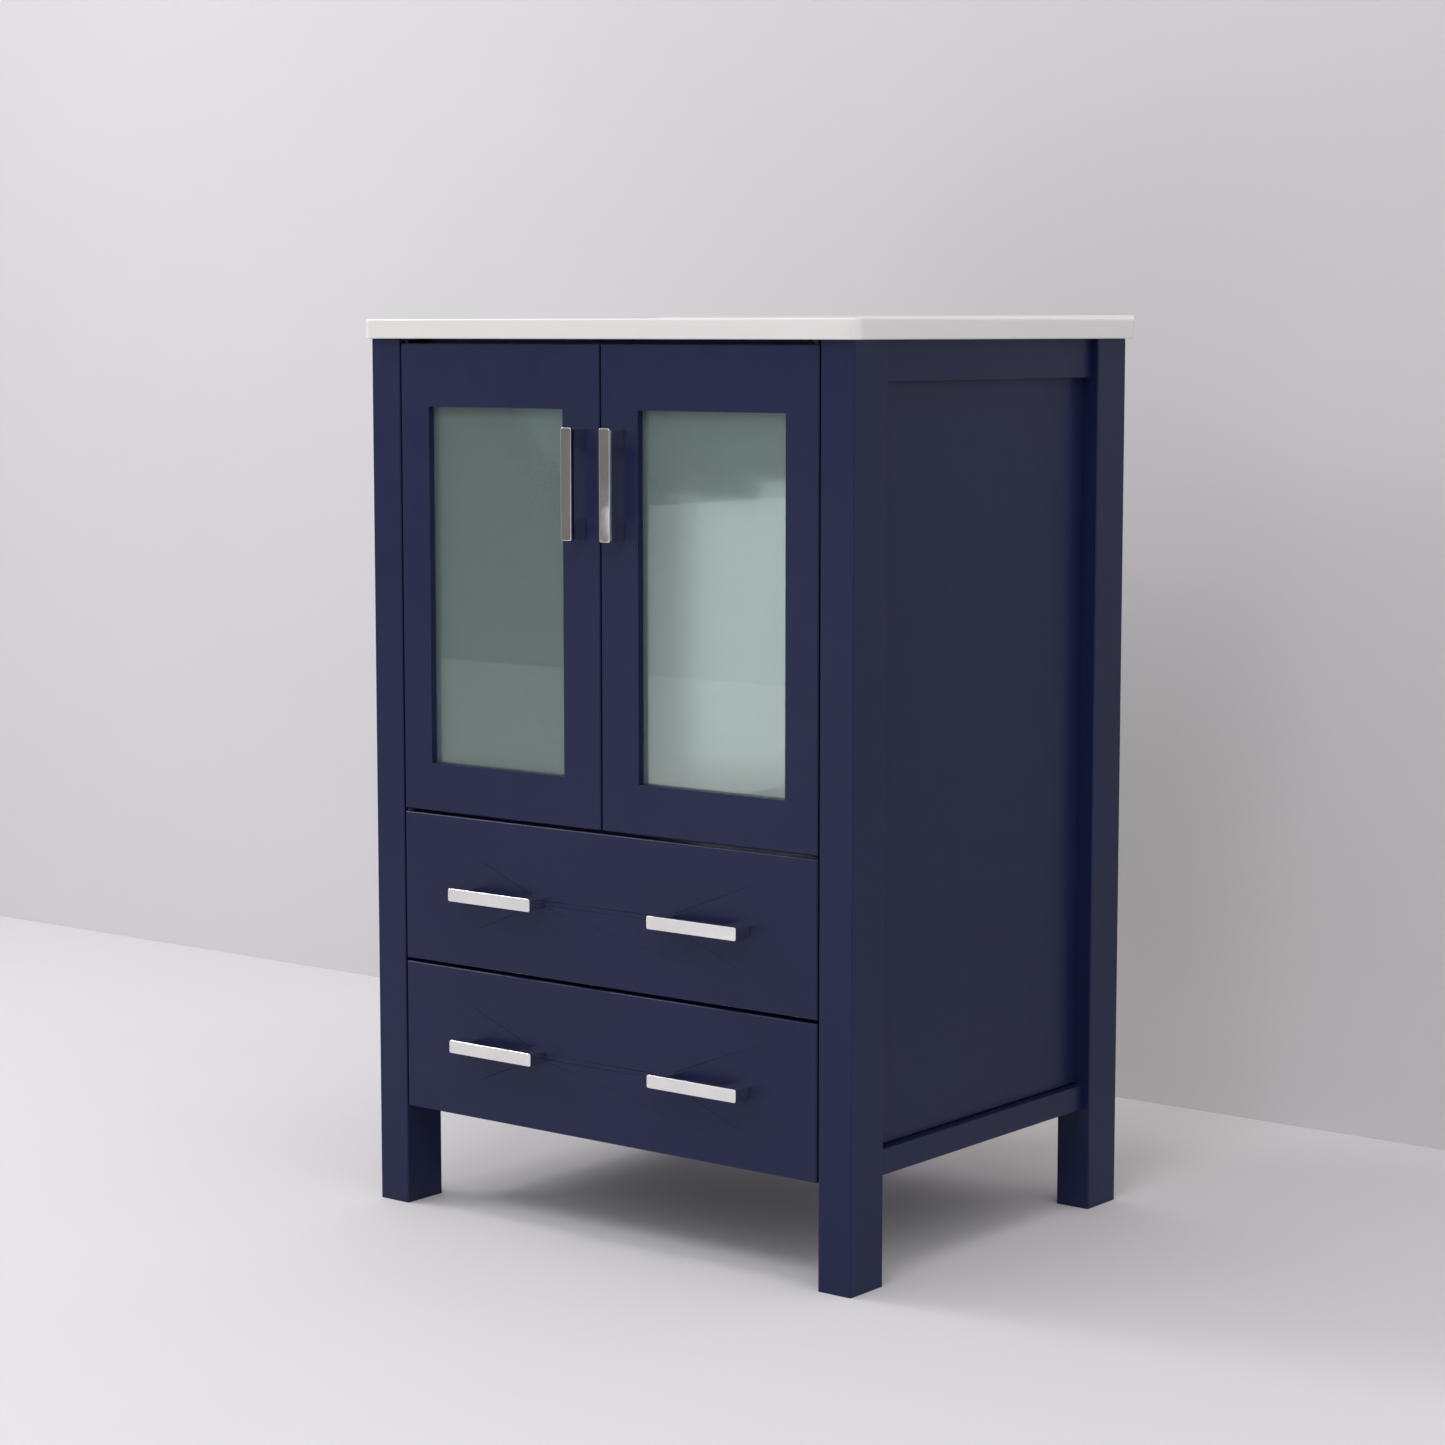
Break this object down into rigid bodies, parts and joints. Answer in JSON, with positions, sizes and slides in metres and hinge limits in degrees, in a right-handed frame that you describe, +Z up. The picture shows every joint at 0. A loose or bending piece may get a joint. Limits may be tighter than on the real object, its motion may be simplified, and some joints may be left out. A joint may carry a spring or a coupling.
{
  "type": "bathroom vanity cabinet",
  "caption": "Bathroom vanity on legs, with a ceramic sink top, frosted glass doors over full-extension drawers, and square bar handles.",
  "frame": {"origin": "on the floor, under the middle of the whole object, handles included", "axes": "+Z up, +Y from the front towards the wall, +X to the right as seen from the front"},
  "size_m": [0.615, 0.4954, 0.9053],
  "materials": {
    "navy_paint": "satin navy lacquer on board",
    "ceramic": "gloss white glaze",
    "frosted_glass": "frosted grey-green, smooth front",
    "chrome": "polished",
    "zinc_steel": "zinc plated",
    "dark_steel": "blackened hinge hardware",
    "screw_steel": "zinc plated",
    "catch_plastic": "fine matt",
    "birch": "clear lacquered birch plywood"
  },
  "bodies": {
    "cabinet": {"leg_front_left": "navy_paint", "leg_front_right": "navy_paint", "leg_rear_left": "navy_paint", "leg_rear_right": "navy_paint", "side_panel_left": "navy_paint", "side_panel_right": "navy_paint", "side_top_rail_left": "navy_paint", "side_top_rail_right": "navy_paint", "side_bottom_rail_left": "navy_paint", "side_bottom_rail_right": "navy_paint", "front_top_rail": "navy_paint", "front_middle_rail": "navy_paint", "front_bottom_rail": "navy_paint", "back_top_rail": "navy_paint", "back_middle_rail": "navy_paint", "back_panel": "birch", "compartment_floor": "birch", "bottom_panel": "navy_paint", "corner_blocks": "birch", "sink_top": "ceramic", "pivot_plates": "dark_steel", "magnetic_catches": "catch_plastic", "top_slide_outers": "zinc_steel", "bottom_slide_outers": "zinc_steel"},
    "left_door": {"left_door_frame": "navy_paint", "left_door_glass": "frosted_glass", "left_door_beads": "navy_paint", "left_door_handle": "chrome", "left_door_handle_screws": "screw_steel", "left_door_pivot_leaves": "dark_steel", "left_door_strike": "zinc_steel"},
    "right_door": {"right_door_frame": "navy_paint", "right_door_glass": "frosted_glass", "right_door_beads": "navy_paint", "right_door_handle": "chrome", "right_door_handle_screws": "screw_steel", "right_door_pivot_leaves": "dark_steel", "right_door_strike": "zinc_steel"},
    "top_drawer": {"top_drawer_front": "navy_paint", "top_drawer_side_left": "birch", "top_drawer_side_right": "birch", "top_drawer_box_front": "birch", "top_drawer_back": "birch", "top_drawer_bottom": "birch", "top_drawer_handle_left": "chrome", "top_drawer_handle_right": "chrome", "top_drawer_screws": "screw_steel", "top_slide_inners": "zinc_steel"},
    "bottom_drawer": {"bottom_drawer_front": "navy_paint", "bottom_drawer_side_left": "birch", "bottom_drawer_side_right": "birch", "bottom_drawer_box_front": "birch", "bottom_drawer_back": "birch", "bottom_drawer_bottom": "birch", "bottom_drawer_handle_left": "chrome", "bottom_drawer_handle_right": "chrome", "bottom_drawer_screws": "screw_steel", "bottom_slide_inners": "zinc_steel"},
    "top_slide_middle": {"top_slide_middles": "zinc_steel"},
    "bottom_slide_middle": {"bottom_slide_middles": "zinc_steel"}
  },
  "joints": [
    {"name": "left_door_hinge", "type": "hinge", "parent": "cabinet", "child": "left_door", "pos_m": [-0.255, -0.2203, 0.6438], "axis": [0, 0, -1], "range_deg": [0, 100]},
    {"name": "right_door_hinge", "type": "hinge", "parent": "cabinet", "child": "right_door", "pos_m": [0.255, -0.2203, 0.6438], "axis": [0, 0, 1], "range_deg": [0, 100]},
    {"name": "top_drawer_slide", "type": "slide", "parent": "cabinet", "child": "top_drawer", "axis": [0, -1, 0], "range_m": [0, 0.38]},
    {"name": "top_slide_travel", "type": "slide", "parent": "cabinet", "child": "top_slide_middle", "axis": [0, -1, 0], "range_m": [0, 0.19]},
    {"name": "bottom_drawer_slide", "type": "slide", "parent": "cabinet", "child": "bottom_drawer", "axis": [0, -1, 0], "range_m": [0, 0.38]},
    {"name": "bottom_slide_travel", "type": "slide", "parent": "cabinet", "child": "bottom_slide_middle", "axis": [0, -1, 0], "range_m": [0, 0.19]}
  ],
  "couplings": [
    {"joint": "top_slide_travel", "follows": "top_drawer_slide", "ratio": 0.5},
    {"joint": "bottom_slide_travel", "follows": "bottom_drawer_slide", "ratio": 0.5}
  ]
}
